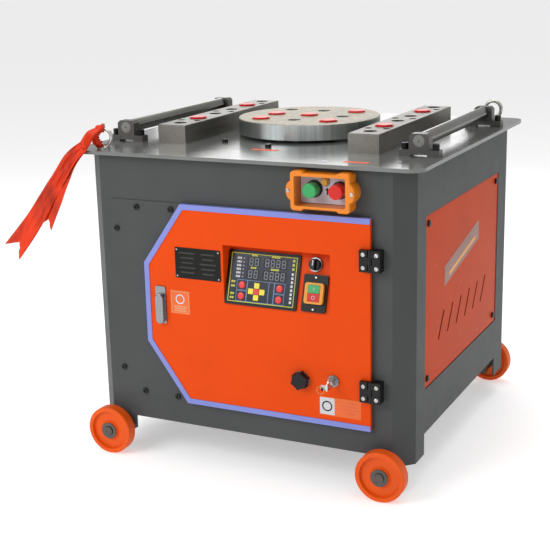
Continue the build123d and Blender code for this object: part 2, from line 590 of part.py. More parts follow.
with BuildPart() as signal_lamp:
    rod((LAMP_X, -HALF_D - 2, LAMP_Z), 8.5, 5, TO_FRONT)
    rod((LAMP_X, -HALF_D - 7, LAMP_Z), 6.5, 3, TO_FRONT)
    rod((LAMP_X, -HALF_D - 2, LAMP_Z), 5, 25, TO_BACK)
save(signal_lamp, "signal_lamp")

for x, name in zip(BUTTON_X, ("start_button", "stop_button")):
    with BuildPart() as button:
        rod((x, -HALF_D - 8, BUTTON_Z), 15.5, 24, TO_FRONT)
        fillet(button.edges().group_by(Axis.Y)[0], 2)
        rod((x, -HALF_D - 8, BUTTON_Z), 10.9, 30, TO_BACK)
    save(button, name)

# ---------------------------------------------------------------- door
with BuildPart() as door_skin:
    with BuildSketch(front_plane(DOOR_FACE + DOOR_DEPTH)):
        door_outline()
    extrude(amount=DOOR_DEPTH)
    with BuildSketch(front_plane(DOOR_FACE + DOOR_DEPTH)):
        door_outline()
        offset(amount=-DOOR_SHEET, kind=Kind.INTERSECTION, mode=Mode.REPLACE)
    extrude(amount=DOOR_DEPTH - DOOR_SHEET, mode=Mode.SUBTRACT)
    with BuildSketch(Plane.YZ.offset(POD_LEFT - DOOR_SHEET)):
        with BuildLine():
            Polyline((DOOR_FACE, POD_BOTTOM - 4), (DOOR_FACE, POD_TOP + DOOR_SHEET),
                     (DOOR_FACE + POD_DEPTH + 3, POD_TOP + DOOR_SHEET), (DOOR_FACE + POD_DEPTH + 3, POD_TOP - 6),
                     (DOOR_FACE + 3, POD_BOTTOM - 4), close=True)
        make_face()
    extrude(amount=POD_RIGHT - POD_LEFT + 2 * DOOR_SHEET)
    with BuildSketch(Plane.YZ.offset(POD_LEFT)):
        with BuildLine():
            Polyline((DOOR_FACE - 1, POD_BOTTOM), (DOOR_FACE - 1, POD_TOP), (DOOR_FACE + POD_DEPTH, POD_TOP),
                     (DOOR_FACE, POD_BOTTOM), close=True)
        make_face()
    extrude(amount=POD_RIGHT - POD_LEFT, mode=Mode.SUBTRACT)
    with BuildSketch(pod_plane):
        with Locations(HMI):
            Rectangle(HMI_W - 20, HMI_H - 20)
        with Locations(SWITCH):
            Rectangle(40, 60)
        with Locations(SELECTOR):
            Circle(11.2)
    extrude(amount=-12, mode=Mode.SUBTRACT)
    extrude_through = ((LATCH_X, LATCH_Z, 8 + RUNNING), (CAP_X, CAP_Z, 12 + RUNNING), (LOCK_X, LOCK_Z, 9))
    for x, z, r in extrude_through:
        rod((x, DOOR_FACE - 5, z), r, 20, TO_BACK, Mode.SUBTRACT)
save(door_skin, "door_skin")

with BuildPart() as door_edging:
    with BuildSketch(front_plane(DOOR_FACE + DOOR_DEPTH - 1)):
        door_outline()
        offset(amount=EDGING, kind=Kind.INTERSECTION, mode=Mode.REPLACE)
    extrude(amount=DOOR_DEPTH - 1 + EDGING)
    with BuildSketch(front_plane(DOOR_FACE + DOOR_DEPTH)):
        door_outline()
    extrude(amount=DOOR_DEPTH, mode=Mode.SUBTRACT)
    with BuildSketch(front_plane(DOOR_FACE + DOOR_DEPTH)):
        door_outline()
        offset(amount=-EDGING_LIP, kind=Kind.INTERSECTION, mode=Mode.REPLACE)
    extrude(amount=DOOR_DEPTH + 5, mode=Mode.SUBTRACT)
    block(DOOR_RIGHT - EDGING_LIP - 1, DOOR_RIGHT + 20, DOOR_FACE - 5, DOOR_FACE + DOOR_DEPTH + 5,
          DOOR_BOTTOM + EDGING_LIP, DOOR_TOP - EDGING_LIP, Mode.SUBTRACT)
    block(DOOR_RIGHT, DOOR_RIGHT + 20, DOOR_FACE - 5, DOOR_FACE + DOOR_DEPTH + 5,
          DOOR_BOTTOM - 10, DOOR_TOP + 10, Mode.SUBTRACT)
save(door_edging, "door_edging")

KNUCKLE_R, PIN_R, LEAF_FRONT = 4.5, 2.5, HINGE_Y - 3
with BuildPart() as hinge_blocks_frame:
    for z in HINGE_Z:
        block(HINGE_X + 5.5, HINGE_X + 5.5 + HINGE_LEAF, LEAF_FRONT, -HALF_D, z - HINGE_H / 2, z + HINGE_H / 2)
        for low in (z - HINGE_H / 2, z + HINGE_H / 6):
            rod((HINGE_X, HINGE_Y, low), KNUCKLE_R, HINGE_H / 3)
            block(HINGE_X, HINGE_X + 5.5, LEAF_FRONT, HINGE_Y + 4, low, low + HINGE_H / 3)
        rod((HINGE_X, HINGE_Y, z - HINGE_H / 2), PIN_R, HINGE_H + 2)
save(hinge_blocks_frame, "hinge_blocks_frame")

with BuildPart() as hinge_blocks_door:
    for z in HINGE_Z:
        low, high = z - HINGE_H / 6 + GAP, z + HINGE_H / 6 - GAP
        block(HINGE_X - 5.5 - HINGE_LEAF, HINGE_X - 5.5, LEAF_FRONT, DOOR_FACE, z - HINGE_H / 2, z + HINGE_H / 2)
        rod((HINGE_X, HINGE_Y, low), KNUCKLE_R, high - low)
        block(HINGE_X - 5.5, HINGE_X, LEAF_FRONT, HINGE_Y + 4, low, high)
        rod((HINGE_X, HINGE_Y, low - 1), PIN_R + RUNNING, high - low + 2, mode=Mode.SUBTRACT)
save(hinge_blocks_door, "hinge_blocks_door")

with BuildPart() as control_panel:
    with BuildSketch(pod_plane):
        with Locations(HMI):
            RectangleRounded(HMI_W, HMI_H, 3)
    extrude(amount=4)
    with BuildSketch(pod_plane):
        with Locations(HMI):
            Rectangle(HMI_W - 22, HMI_H - 22)
    extrude(amount=-34)
save(control_panel, "control_panel")

with BuildPart() as switch_plate:
    with BuildSketch(pod_plane):
        with Locations(SWITCH):
            RectangleRounded(56, 80, 4)
            Rectangle(38, 42, mode=Mode.SUBTRACT)
    extrude(amount=5)
save(switch_plate, "switch_plate")

BOX_X, BOX_Y = SWITCH[0] + 1, SWITCH[1]
BOX_W, BOX_H, BUTTON_W = 43, 45, 28
with BuildPart() as switch_box:
    with BuildSketch(pod_plane.offset(5 - 34)):
        with Locations(SWITCH):
            Rectangle(37, 41)
    extrude(amount=34)
    with BuildSketch(pod_plane.offset(5)):
        with Locations((BOX_X, BOX_Y)):
            RectangleRounded(BOX_W, BOX_H, 6)
    extrude(amount=8)
    with BuildSketch(pod_plane.offset(-10)):
        with Locations((BOX_X, BOX_Y)):
            Rectangle(BUTTON_W, 36)
    extrude(amount=25, mode=Mode.SUBTRACT)
save(switch_box, "switch_box")

for up, name in ((BOX_Y + 9, "switch_on_button"), (BOX_Y - 9, "switch_off_button")):
    with BuildPart() as switch_button:
        with BuildSketch(pod_plane.offset(-4)):
            with Locations((BOX_X, up)):
                RectangleRounded(BUTTON_W - 2 * GAP, 18 - 2 * GAP, 1.5)
        extrude(amount=18)
    save(switch_button, name)

with BuildPart() as selector_knob:
    with Locations(pod_at(*SELECTOR, 2)):
        Cylinder(12, 12, align=(Align.CENTER, Align.CENTER, Align.MIN))
    with Locations(pod_at(*SELECTOR, 14)):
        Box(8, 22, 7, align=(Align.CENTER, Align.CENTER, Align.MIN))
    with Locations(pod_at(*SELECTOR, -28)):
        Cylinder(10.9, 30, align=(Align.CENTER, Align.CENTER, Align.MIN))
save(selector_knob, "selector_knob")

with BuildPart() as latch_base:
    with BuildSketch(front_plane(DOOR_FACE)):
        with Locations((LATCH_X, 371)):
            RectangleRounded(26, 86, 4)
        with Locations((LATCH_X, LATCH_Z)):
            Circle(8 + RUNNING, mode=Mode.SUBTRACT)
    extrude(amount=3)
save(latch_base, "latch_base")

with BuildPart() as latch_handle:
    with BuildSketch(front_plane(DOOR_FACE - 3 - GAP)):
        with Locations((LATCH_X, LATCH_Z - 20)):
            SlotCenterToCenter(50, 20, rotation=90)
    extrude(amount=9)
    fillet(latch_handle.edges().group_by(Axis.Y)[0], 2)
    rod((LATCH_X, DOOR_FACE - 3 - GAP, LATCH_Z), 8, 26, TO_BACK)
    block(LATCH_X - 9, LATCH_X + 9, DOOR_FACE + 19, DOOR_FACE + 22.5, LATCH_Z - 9, LATCH_Z + 32)
save(latch_handle, "latch_handle")

with BuildPart() as socket_cap:
    with BuildSketch(front_plane(DOOR_FACE - GAP)):
        with Locations((CAP_X, CAP_Z)):
            Circle(17.5)
            with PolarLocations(16.5, 6, 20):
                Circle(4)
    extrude(amount=16)
    fillet(socket_cap.edges().group_by(Axis.Y)[0], 1.5)
    rod((CAP_X, DOOR_FACE - GAP, CAP_Z), 12, 16, TO_BACK)
save(socket_cap, "socket_cap")

with BuildPart() as lock_barrel:
    rod((LOCK_X, DOOR_FACE, LOCK_Z), 13, 3, TO_FRONT)
    rod((LOCK_X, DOOR_FACE, LOCK_Z), 8.9, 24, TO_BACK)
    rod((LOCK_X, DOOR_FACE - 5, LOCK_Z), 4 + RUNNING, 22, TO_BACK, Mode.SUBTRACT)
save(lock_barrel, "lock_barrel")

with BuildPart() as key:
    rod((LOCK_X, DOOR_FACE - 16, LOCK_Z), 4, 28, TO_BACK)
    with BuildSketch(Plane.YZ.offset(LOCK_X - 1.5)):
        with Locations((DOOR_FACE - 21, LOCK_Z)):
            Circle(12)
            Circle(3, mode=Mode.SUBTRACT)
        with Locations((DOOR_FACE - 23.5, LOCK_Z - 3)):
            Rectangle(26, 17)
        with Locations((DOOR_FACE - 32, LOCK_Z - 4)):
            Circle(3, mode=Mode.SUBTRACT)
    extrude(amount=3)
save(key, "key")

# ---------------------------------------------------------------- ribbon on the front lifting eye
RIBBON_Y = -402.5
RIBBON_T = 2


def ribbon_strip(centre, widths):
    """Flat strip in a plane facing the front, along a centre line with a width at each point."""
    left, right = [], []
    for i, (x, z) in enumerate(centre):
        before = centre[max(i - 1, 0)]
        after = centre[min(i + 1, len(centre) - 1)]
        dx, dz = after[0] - before[0], after[1] - before[1]
        size = sqrt(dx * dx + dz * dz)
        half = widths[i] / 2
        left.append((x - dz / size * half, z + dx / size * half))
        right.append((x + dz / size * half, z - dx / size * half))
    Polygon(*left, *reversed(right), align=None)


with BuildPart() as ribbon_tail_long:
    with BuildSketch(front_plane(RIBBON_Y)):
        ribbon_strip([(-372, 722), (-402, 702), (-440, 650), (-480, 600), (-530, 530), (-592, 462)],
                     [20, 36, 50, 56, 60, 56])
    extrude(amount=RIBBON_T)
save(ribbon_tail_long, "ribbon_tail_long")

with BuildPart() as ribbon_tail_short:
    with BuildSketch(front_plane(RIBBON_Y + 2.5)):
        ribbon_strip([(-374, 718), (-402, 694), (-436, 640), (-464, 585), (-492, 528)], [18, 30, 40, 44, 36])
    extrude(amount=RIBBON_T)
save(ribbon_tail_short, "ribbon_tail_short")

with BuildPart() as ribbon_wrap:
    ring = Location((-EYE_X, -EYE_Y, EYE_CENTRE_Z), (90, 0, 25))
    with Locations(ring * Location((0, 0, 0), (0, 0, 165))):
        Torus(EYE_RING_R, 8, major_angle=70)
    with BuildSketch(Plane(origin=(-366, -367, 729), z_dir=(-8, -31, -8))):
        Ellipse(9, 11)
    extrude(amount=32.5)
    with Locations(ring):
        Torus(EYE_RING_R, EYE_WIRE_R + GAP, mode=Mode.SUBTRACT)
save(ribbon_wrap, "ribbon_wrap")
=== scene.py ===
"""Rebar bender: materials, printed and fitted detail, ribbon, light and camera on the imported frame.

Local positions are in millimetres on the face that a piece lies on; MM turns them into metres.
"""
from math import atan2, cos, pi, radians, sin

import bmesh
import bpy
from mathutils import Matrix, Vector


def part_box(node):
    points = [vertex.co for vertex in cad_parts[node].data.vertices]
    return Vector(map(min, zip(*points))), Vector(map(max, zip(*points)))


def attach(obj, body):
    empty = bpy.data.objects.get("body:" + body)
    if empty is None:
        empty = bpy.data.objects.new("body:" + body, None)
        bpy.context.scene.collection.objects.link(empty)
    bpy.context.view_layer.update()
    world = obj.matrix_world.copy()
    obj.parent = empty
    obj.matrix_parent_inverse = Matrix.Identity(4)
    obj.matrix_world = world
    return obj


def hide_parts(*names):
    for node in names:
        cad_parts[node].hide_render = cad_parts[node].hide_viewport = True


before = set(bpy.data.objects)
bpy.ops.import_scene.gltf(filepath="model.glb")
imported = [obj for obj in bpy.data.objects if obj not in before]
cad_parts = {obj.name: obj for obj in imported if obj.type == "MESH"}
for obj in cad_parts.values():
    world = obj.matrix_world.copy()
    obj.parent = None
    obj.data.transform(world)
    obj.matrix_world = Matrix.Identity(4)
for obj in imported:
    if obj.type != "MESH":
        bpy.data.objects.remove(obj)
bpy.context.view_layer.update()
MM = 0.001


# ---------------------------------------------------------------- materials
def shader(name, color, roughness=0.5, metallic=0.0, **sockets):
    """A Principled material; sockets are set by name."""
    material = bpy.data.materials.new(name)
    material.use_nodes = True
    bsdf = material.node_tree.nodes["Principled BSDF"]
    bsdf.inputs["Base Color"].default_value = (*color, 1)
    bsdf.inputs["Roughness"].default_value = roughness
    bsdf.inputs["Metallic"].default_value = metallic
    for socket, value in sockets.items():
        bsdf.inputs[socket.replace("_", " ")].default_value = value
    return material, material.node_tree, bsdf


def srgb(r, g, b):
    """Linear colour from 8-bit sRGB values."""
    def channel(c):
        c /= 255
        return c / 12.92 if c <= 0.04045 else ((c + 0.055) / 1.055) ** 2.4
    return channel(r), channel(g), channel(b)


def node(tree, kind, **values):
    """Adds a node and sets its properties or input defaults by name."""
    made = tree.nodes.new(kind)
    for key, value in values.items():
        if hasattr(made, key):
            setattr(made, key, value)
        else:
            made.inputs[key.replace("_", " ")].default_value = value
    return made


def coordinates(tree, stretch=(1, 1, 1), turn=(0, 0, 0)):
    """Object coordinates in metres, stretched for grain."""
    place = node(tree, "ShaderNodeTexCoord")
    mapping = node(tree, "ShaderNodeMapping")
    mapping.inputs["Scale"].default_value = stretch
    mapping.inputs["Rotation"].default_value = turn
    tree.links.new(place.outputs["Object"], mapping.inputs["Vector"])
    return mapping.outputs["Vector"]


def noise(tree, vector, scale, detail=3, roughness=0.55):
    made = node(tree, "ShaderNodeTexNoise", Scale=scale, Detail=detail, Roughness=roughness)
    tree.links.new(vector, made.inputs["Vector"])
    return made.outputs["Fac"]


def ramp(tree, value, stops):
    """Colour ramp through (position, colour) stops."""
    made = node(tree, "ShaderNodeValToRGB")
    elements = made.color_ramp.elements
    while len(elements) < len(stops):
        elements.new(0.5)
    for element, (position, color) in zip(elements, stops):
        element.position = position
        element.color = (*color, 1)
    tree.links.new(value, made.inputs["Fac"])
    return made.outputs["Color"]


def spread(tree, value, low, high):
    made = node(tree, "ShaderNodeMapRange", To_Min=low, To_Max=high)
    tree.links.new(value, made.inputs["Value"])
    return made.outputs["Result"]


def bump(tree, bsdf, height, strength, distance):
    made = node(tree, "ShaderNodeBump", Strength=strength, Distance=distance)
    tree.links.new(height, made.inputs["Height"])
    tree.links.new(made.outputs["Normal"], bsdf.inputs["Normal"])


def shade(color, factor):
    return tuple(min(c * factor, 1) for c in color)


def coated(name, color, roughness, grain=700, peel=0.12, depth=0.0003, mottle=0.06, **sockets):
    """Powder coat or moulded plastic: slight blotches, fine peel and uneven gloss."""
    material, tree, bsdf = shader(name, color, roughness, **sockets)
    place = coordinates(tree)
    blotch = noise(tree, place, 9, 4)
    tree.links.new(ramp(tree, blotch, [(0.3, shade(color, 1 - mottle)), (0.7, shade(color, 1 + mottle))]),
                   bsdf.inputs["Base Color"])
    tree.links.new(spread(tree, noise(tree, place, 30), roughness - 0.06, roughness + 0.08),
                   bsdf.inputs["Roughness"])
    bump(tree, bsdf, noise(tree, place, grain, 2), peel, depth)
    return material


def metal(name, color, roughness, stretch=(1, 1, 1), grain=60, scratch=0.12, mottle=0.12, depth=0.0002):
    """Bare metal with grain along the short side of stretch, stains and uneven gloss."""
    material, tree, bsdf = shader(name, color, roughness, 1.0)
    grain_value = noise(tree, coordinates(tree, stretch), grain, 5, 0.65)
    stain = noise(tree, coordinates(tree), 7, 5)
    mix = node(tree, "ShaderNodeMix", data_type="RGBA", blend_type="MULTIPLY")
    mix.inputs["Factor"].default_value = 1
    streaks = ramp(tree, grain_value, [(0.3, shade(color, 1 - mottle)), (0.7, shade(color, 1 + mottle))])
    tree.links.new(streaks, mix.inputs["A"])
    tree.links.new(ramp(tree, stain, [(0.35, (0.82, 0.80, 0.77)), (0.6, (1, 1, 1))]), mix.inputs["B"])
    tree.links.new(mix.outputs["Result"], bsdf.inputs["Base Color"])
    tree.links.new(spread(tree, grain_value, roughness - 0.1, roughness + 0.14), bsdf.inputs["Roughness"])
    bump(tree, bsdf, grain_value, scratch, depth)
    return material


def turned(name, color, roughness):
    """Disc with a blotched, half-metallic top of fine rings, and a shiny steel rim whose vertical light and dark
    streaks are painted reflection.
    """
    material, tree, bsdf = shader(name, color, roughness, 1.0)
    place = coordinates(tree)
    rings = node(tree, "ShaderNodeTexWave", wave_type="RINGS", rings_direction="Z", Scale=130, Distortion=6,
                 Detail=4, Detail_Scale=3)
    tree.links.new(place, rings.inputs["Vector"])
    swirl = node(tree, "ShaderNodeTexVoronoi", feature="DISTANCE_TO_EDGE", Scale=26)
    tree.links.new(place, swirl.inputs["Vector"])
    blotch = noise(tree, place, 64, 6, 0.7)
    mix = node(tree, "ShaderNodeMix", data_type="RGBA", blend_type="OVERLAY")
    mix.inputs["Factor"].default_value = 0.55
    tree.links.new(ramp(tree, rings.outputs["Fac"], [(0.1, shade(color, 0.72)), (0.9, shade(color, 1.2))]),
                   mix.inputs["A"])
    tans = [(0.38, (0.12, 0.10, 0.07)), (0.5, (0.45, 0.42, 0.36)), (0.62, (0.85, 0.82, 0.76))]
    tree.links.new(ramp(tree, blotch, tans), mix.inputs["B"])
    facing = node(tree, "ShaderNodeSeparateXYZ")
    tree.links.new(node(tree, "ShaderNodeNewGeometry").outputs["Normal"], facing.inputs["Vector"])
    level = spread(tree, facing.outputs["Z"], 0, 1)
    # Rim colour: bright steel with vertical light and dark streaks, a painted reflection of the surroundings.
    rim = noise(tree, coordinates(tree, (1, 1, 0.02)), 90, 3)
    sides = node(tree, "ShaderNodeMix", data_type="RGBA")
    tree.links.new(level, sides.inputs["Factor"])
    rim_painted_reflection_tones = [(0.3, srgb(186, 192, 192)), (0.7, srgb(222, 228, 227))]
    tree.links.new(ramp(tree, rim, rim_painted_reflection_tones), sides.inputs["A"])
    tree.links.new(mix.outputs["Result"], sides.inputs["B"])
    tree.links.new(sides.outputs["Result"], bsdf.inputs["Base Color"])
    tree.links.new(spread(tree, facing.outputs["Z"], 1, 0.25), bsdf.inputs["Metallic"])
    gloss = node(tree, "ShaderNodeMix", data_type="FLOAT")
    tree.links.new(level, gloss.inputs["Factor"])
    gloss.inputs["A"].default_value = 0.3
    tree.links.new(spread(tree, blotch, roughness - 0.12, roughness + 0.2), gloss.inputs["B"])
    tree.links.new(gloss.outputs["Result"], bsdf.inputs["Roughness"])
    bump(tree, bsdf, blotch, 0.12, 0.0006)
    return material


def satin(name, color):
    """Woven satin ribbon: fine cross weave, sheen, and soft creasing whose light and dark bands are painted
    shade and highlight.
    """
    material, tree, bsdf = shader(name, color, 0.36, Sheen_Weight=0.05, Sheen_Roughness=0.35,
                                  Specular_IOR_Level=0.25)
    place = coordinates(tree)
    weave = node(tree, "ShaderNodeTexWave", wave_type="BANDS", bands_direction="DIAGONAL", Scale=700,
                 Distortion=1)
    tree.links.new(place, weave.inputs["Vector"])
    # Light and dark diagonal bands in the colour: painted shade and highlight of creases.
    crease_shade_and_highlight = noise(tree, coordinates(tree, (1, 1, 0.4), (0, radians(42), 0)), 28, 3)
    tree.links.new(ramp(tree, crease_shade_and_highlight, [(0.3, shade(color, 0.62)), (0.6, shade(color, 1.15))]),
                   bsdf.inputs["Base Color"])
    bump(tree, bsdf, weave.outputs["Fac"], 0.15, 0.0002)
    return material


grey_coat = coated("grey_coat", srgb(76, 78, 78), 0.42, grain=520, peel=0.2, depth=0.0004, mottle=0.05,
                   IOR=1.16)
table_coat = coated("table_coat", srgb(122, 124, 122), 0.18, grain=160, peel=0.04, depth=0.0004, mottle=0.12,
                    Metallic=0.6)
orange_coat = coated("orange_coat", srgb(220, 71, 6), 0.36, grain=240, peel=0.05, mottle=0.03, IOR=1.2)
panel_coat = coated("panel_coat", srgb(186, 62, 12), 0.24, grain=60, peel=0.02, mottle=0.05, IOR=1.08)
edging_pvc = coated("edging_pvc", srgb(126, 136, 204), 0.34, mottle=0.06, Specular_IOR_Level=0.2)
disc_steel = turned("disc_steel", srgb(150, 142, 124), 0.36)
bar_steel = metal("bar_steel", srgb(136, 133, 128), 0.36, (1, 0.04, 1), 120, 0.03, 0.1)
roller_steel = metal("roller_steel", srgb(134, 134, 130), 0.2, (1, 0.05, 1), 60, 0.01, 0.1)
bracket_steel = coated("bracket_steel", srgb(84, 83, 81), 0.34, grain=200, peel=0.2, mottle=0.14,
                       Metallic=0.4)
zinc = metal("zinc", srgb(200, 200, 196), 0.28, (1, 1, 1), 90, 0.06, 0.12)
chrome = metal("chrome", srgb(140, 146, 150), 0.26, (1, 1, 1), 40, 0.01, 0.05)
nickel = metal("nickel", srgb(222, 222, 220), 0.3, (1, 1, 1), 40, 0.01, 0.05)
axle_steel = metal("axle_steel", srgb(96, 90, 84), 0.42, (1, 1, 1), 120, 0.2, 0.3)
machine_steel = metal("machine_steel", srgb(150, 150, 152), 0.34, (1, 1, 0.1), 160, 0.1, 0.15)
brass = metal("brass", srgb(196, 168, 104), 0.28, (1, 1, 1), 80, 0.05, 0.1)
cast_iron = coated("cast_iron", srgb(78, 84, 90), 0.62, grain=330, peel=0.6, depth=0.0012, mottle=0.12)
motor_coat = coated("motor_coat", srgb(58, 84, 112), 0.45, grain=300, peel=0.3, mottle=0.08)
rubber = coated("rubber", srgb(26, 26, 27), 0.72, grain=900, peel=0.3, mottle=0.15)
black_steel = coated("black_steel", srgb(13, 13, 14), 0.34, grain=800, peel=0.15, mottle=0.1,
                     Specular_IOR_Level=0.3)
black_plastic = coated("black_plastic", srgb(12, 12, 13), 0.36, grain=1500, peel=0.2, mottle=0.1,
                       Specular_IOR_Level=0.3)
wheel_pu = coated("wheel_pu", srgb(222, 84, 8), 0.44, grain=420, peel=0.12, mottle=0.08,
                  Specular_IOR_Level=0.25)
guard_plastic = coated("guard_plastic", srgb(226, 126, 14), 0.34, mottle=0.05)
red_plastic = coated("red_plastic", srgb(200, 26, 16), 0.28, mottle=0.08, Specular_IOR_Level=0.4)
green_plastic = coated("green_plastic", srgb(44, 156, 84), 0.28, mottle=0.05)
amber_plastic = coated("amber_plastic", srgb(222, 170, 28), 0.2, mottle=0.05, Transmission_Weight=0.15)
yellow_plastic = coated("yellow_plastic", srgb(222, 146, 20), 0.34, mottle=0.05)
faded_print = coated("faded_print", srgb(206, 158, 120), 0.45, mottle=0.06)
sticker_grey = coated("sticker_grey", srgb(136, 92, 80), 0.4, mottle=0.06)
lavender = coated("lavender", srgb(206, 206, 220), 0.4, mottle=0.04)
grey_plastic = coated("grey_plastic", srgb(150, 150, 152), 0.38, mottle=0.06)
white_print = coated("white_print", srgb(196, 198, 202), 0.45, mottle=0.04)
grey_print = coated("grey_print", srgb(128, 134, 150), 0.4, mottle=0.06)
navy_print = coated("navy_print", srgb(20, 27, 46), 0.25, mottle=0.1, Specular_IOR_Level=0.35)
lime_print = coated("lime_print", srgb(186, 190, 58), 0.4, mottle=0.08)
blue_print = coated("blue_print", srgb(118, 146, 182), 0.4, mottle=0.05)
yellow_key = coated("yellow_key", srgb(232, 214, 52), 0.35, mottle=0.06)
red_key = coated("red_key", srgb(222, 44, 44), 0.3, mottle=0.08)
dark_plate = coated("dark_plate", srgb(15, 15, 12), 0.3, grain=300, peel=0.06, mottle=0.18,
                    Specular_IOR_Level=0.2)
plate_mark = coated("plate_mark", srgb(34, 35, 28), 0.35, mottle=0.1)
sticker_orange = coated("sticker_orange", srgb(222, 98, 24), 0.4, mottle=0.06)
table_sticker = coated("table_sticker", srgb(216, 92, 48), 0.5, mottle=0.12)
ribbon_satin = satin("ribbon_satin", srgb(206, 48, 4))

NODE_MATERIALS = {
    grey_coat: ("corner_posts", "front_frame", "access_panel", "cabinet_sheets", "rear_panel", "base_rails"),
    orange_coat: ("door_skin",),
    panel_coat: ("side_panel_left", "side_panel_right"),
    edging_pvc: ("door_edging",),
    table_coat: ("table_plate",),
    disc_steel: ("work_disc",),
    bar_steel: ("hole_bar_left", "hole_bar_right"),
    roller_steel: ("roller_left", "roller_right"),
    bracket_steel: ("roller_brackets",),
    zinc: ("eye_bolts",),
    axle_steel: ("axles",),
    chrome: ("latch_handle", "latch_base", "lock_barrel"),
    machine_steel: ("spindle", "main_gear", "layshaft", "lay_gear", "input_shaft", "driven_pulley",
                    "motor_pulley", "motor_shaft"),
    cast_iron: ("gearbox_case", "gearbox_cover"),
    motor_coat: ("motor_body",),
    rubber: ("v_belts",),
    black_steel: ("black_screws", "hinge_blocks_frame", "hinge_blocks_door"),
    black_plastic: ("control_panel", "socket_cap", "selector_knob", "switch_plate"),
    wheel_pu: ("wheel_front_left", "wheel_front_right", "wheel_rear_left", "wheel_rear_right"),
    guard_plastic: ("button_guard",),
    red_plastic: ("disc_plugs", "bar_plugs", "stop_button", "switch_off_button"),
    green_plastic: ("start_button", "switch_on_button"),
    amber_plastic: ("signal_lamp",),
    yellow_plastic: ("switch_box",),
    lavender: ("button_plate", "electrical_box"),
    nickel: ("key",),
    ribbon_satin: ("ribbon_tail_long", "ribbon_tail_short", "ribbon_wrap"),
}
for material, names in NODE_MATERIALS.items():
    for name in names:
        for material_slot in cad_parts[name].material_slots:
            material_slot.material = material


# ---------------------------------------------------------------- mesh helpers
def front(y, x=0.0, z=0.0):
    """Face looking at the operator: local x to the right, y up, z out of it; metres."""
    return Matrix(((1, 0, 0, x), (0, 0, -1, y), (0, 1, 0, z), (0, 0, 0, 1)))


def back(y, x=0.0, z=0.0):
    """Face looking to the rear: local x to the left, y up, z out of it; metres."""
    return Matrix(((-1, 0, 0, x), (0, 0, 1, y), (0, 1, 0, z), (0, 0, 0, 1)))


def flank(x, sign):
    """Left or right face: local x to the back or front, y up, z out of it."""
    return Matrix(((0, 0, sign, x), (sign, 0, 0, 0), (0, 1, 0, 0), (0, 0, 0, 1)))


def rounded(width, height, radius=0.0, steps=4):
    """Rounded rectangle outline about its middle."""
    corners = ((1, -1), (1, 1), (-1, 1), (-1, -1))
    if radius <= 0:
        return [(sx * width / 2, sy * height / 2) for sx, sy in corners[-1:] + corners[:-1]]
    points = []
    for corner, (sx, sy) in enumerate(corners):
        for i in range(steps + 1):
            a = -pi / 2 + corner * pi / 2 + pi / 2 * i / steps
            points.append((sx * (width / 2 - radius) + radius * cos(a),
                           sy * (height / 2 - radius) + radius * sin(a)))
    return points


def circle(at, radius, z, count):
    """Points of a circle round at, at height z."""
    angles = [2 * pi * i / count for i in range(count)]
    return [(at[0] + radius * cos(a), at[1] + radius * sin(a), z) for a in angles]


def tube(mesh, rows):
    """Closed tube through rings of vertices."""
    for a, b in zip(rows, rows[1:]):
        for j in range(len(a)):
            k = (j + 1) % len(a)
            mesh.faces.new((a[j], a[k], b[k], b[j])).smooth = True
    mesh.faces.new(rows[0])
    mesh.faces.new(list(reversed(rows[-1])))


def mesh_object(name, mesh, materials):
    """Turns a bmesh into an object of the scene, and frees the bmesh."""
    data = bpy.data.meshes.new(name)
    mesh.to_mesh(data)
    mesh.free()
    made = bpy.data.objects.new(name, data)
    for material in materials:
        data.materials.append(material)
    bpy.context.scene.collection.objects.link(made)
    return made


class Piece:
    """One mesh object made of prisms and turned shapes in local millimetres on given faces."""

    def __init__(self, name):
        self.name, self.mesh, self.materials = name, bmesh.new(), []

    def _index(self, material):
        if material not in self.materials:
            self.materials.append(material)
        return self.materials.index(material)

    def _skin(self, place, loops, material, smooth=False, cap=(True, True)):
        index = self._index(material)
        rows = [[self.mesh.verts.new(place @ (Vector(p) * MM)) for p in loop] for loop in loops]
        for low, high in zip(rows, rows[1:]):
            for i in range(len(low)):
                j = (i + 1) % len(low)
                face = self.mesh.faces.new((low[i], low[j], high[j], high[i]))
                face.material_index, face.smooth = index, smooth
        for wanted, row in zip(cap, (list(reversed(rows[0])), rows[-1])):
            if wanted:
                self.mesh.faces.new(row).material_index = index

    def prism(self, place, outline, at, z0, z1, material, soft=0.3):
        """Outline raised from z0 to z1 with a softened top edge."""
        size = max(max(abs(u), abs(v)) for u, v in outline)
        inset = max(1 - soft / size, 0.5)
        loops = [[(at[0] + u * scale, at[1] + v * scale, z) for u, v in outline]
                 for scale, z in ((1, z0), (1, z1 - soft), (inset, z1))]
        self._skin(place, loops, material)

    def slab(self, place, at, width, height, z0, z1, material, radius=0.0, soft=0.15):
        self.prism(place, rounded(width, height, radius), at, z0, z1, material, soft)

    def turn(self, place, at, profile, material, count=40):
        """Turned shape about the local z axis through at; profile is (radius, z) from end to end."""
        self._skin(place, [circle(at, r, z, count) for r, z in profile], material, smooth=True)

    def hoop(self, place, at, inner, outer, z0, z1, material, count=40):
        """Flat ring with softened edges."""
        edge = min(0.4, (outer - inner) / 4)
        section = [(outer, z0), (outer, z1 - edge), (outer - edge, z1),
                   (inner + edge, z1), (inner, z1 - edge), (inner, z0), (outer, z0)]
        self._skin(place, [circle(at, r, z, count) for r, z in section], material, cap=(False, False))

    def frame_line(self, place, at, width, height, line, z0, z1, material):
        """Thin rectangular border."""
        for side in (-1, 1):
            level = (at[0], at[1] + side * (height - line) / 2)
            upright = (at[0] + side * (width - line) / 2, at[1])
            self.slab(place, level, width, line, z0, z1, material, soft=0.05)
            self.slab(place, upright, line, height - 2 * line, z0, z1, material, soft=0.05)

    def done(self, body):
        bmesh.ops.remove_doubles(self.mesh, verts=self.mesh.verts, dist=1e-7)
        bmesh.ops.recalc_face_normals(self.mesh, faces=self.mesh.faces)
        made = mesh_object(self.name, self.mesh, self.materials)
        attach(made, body)


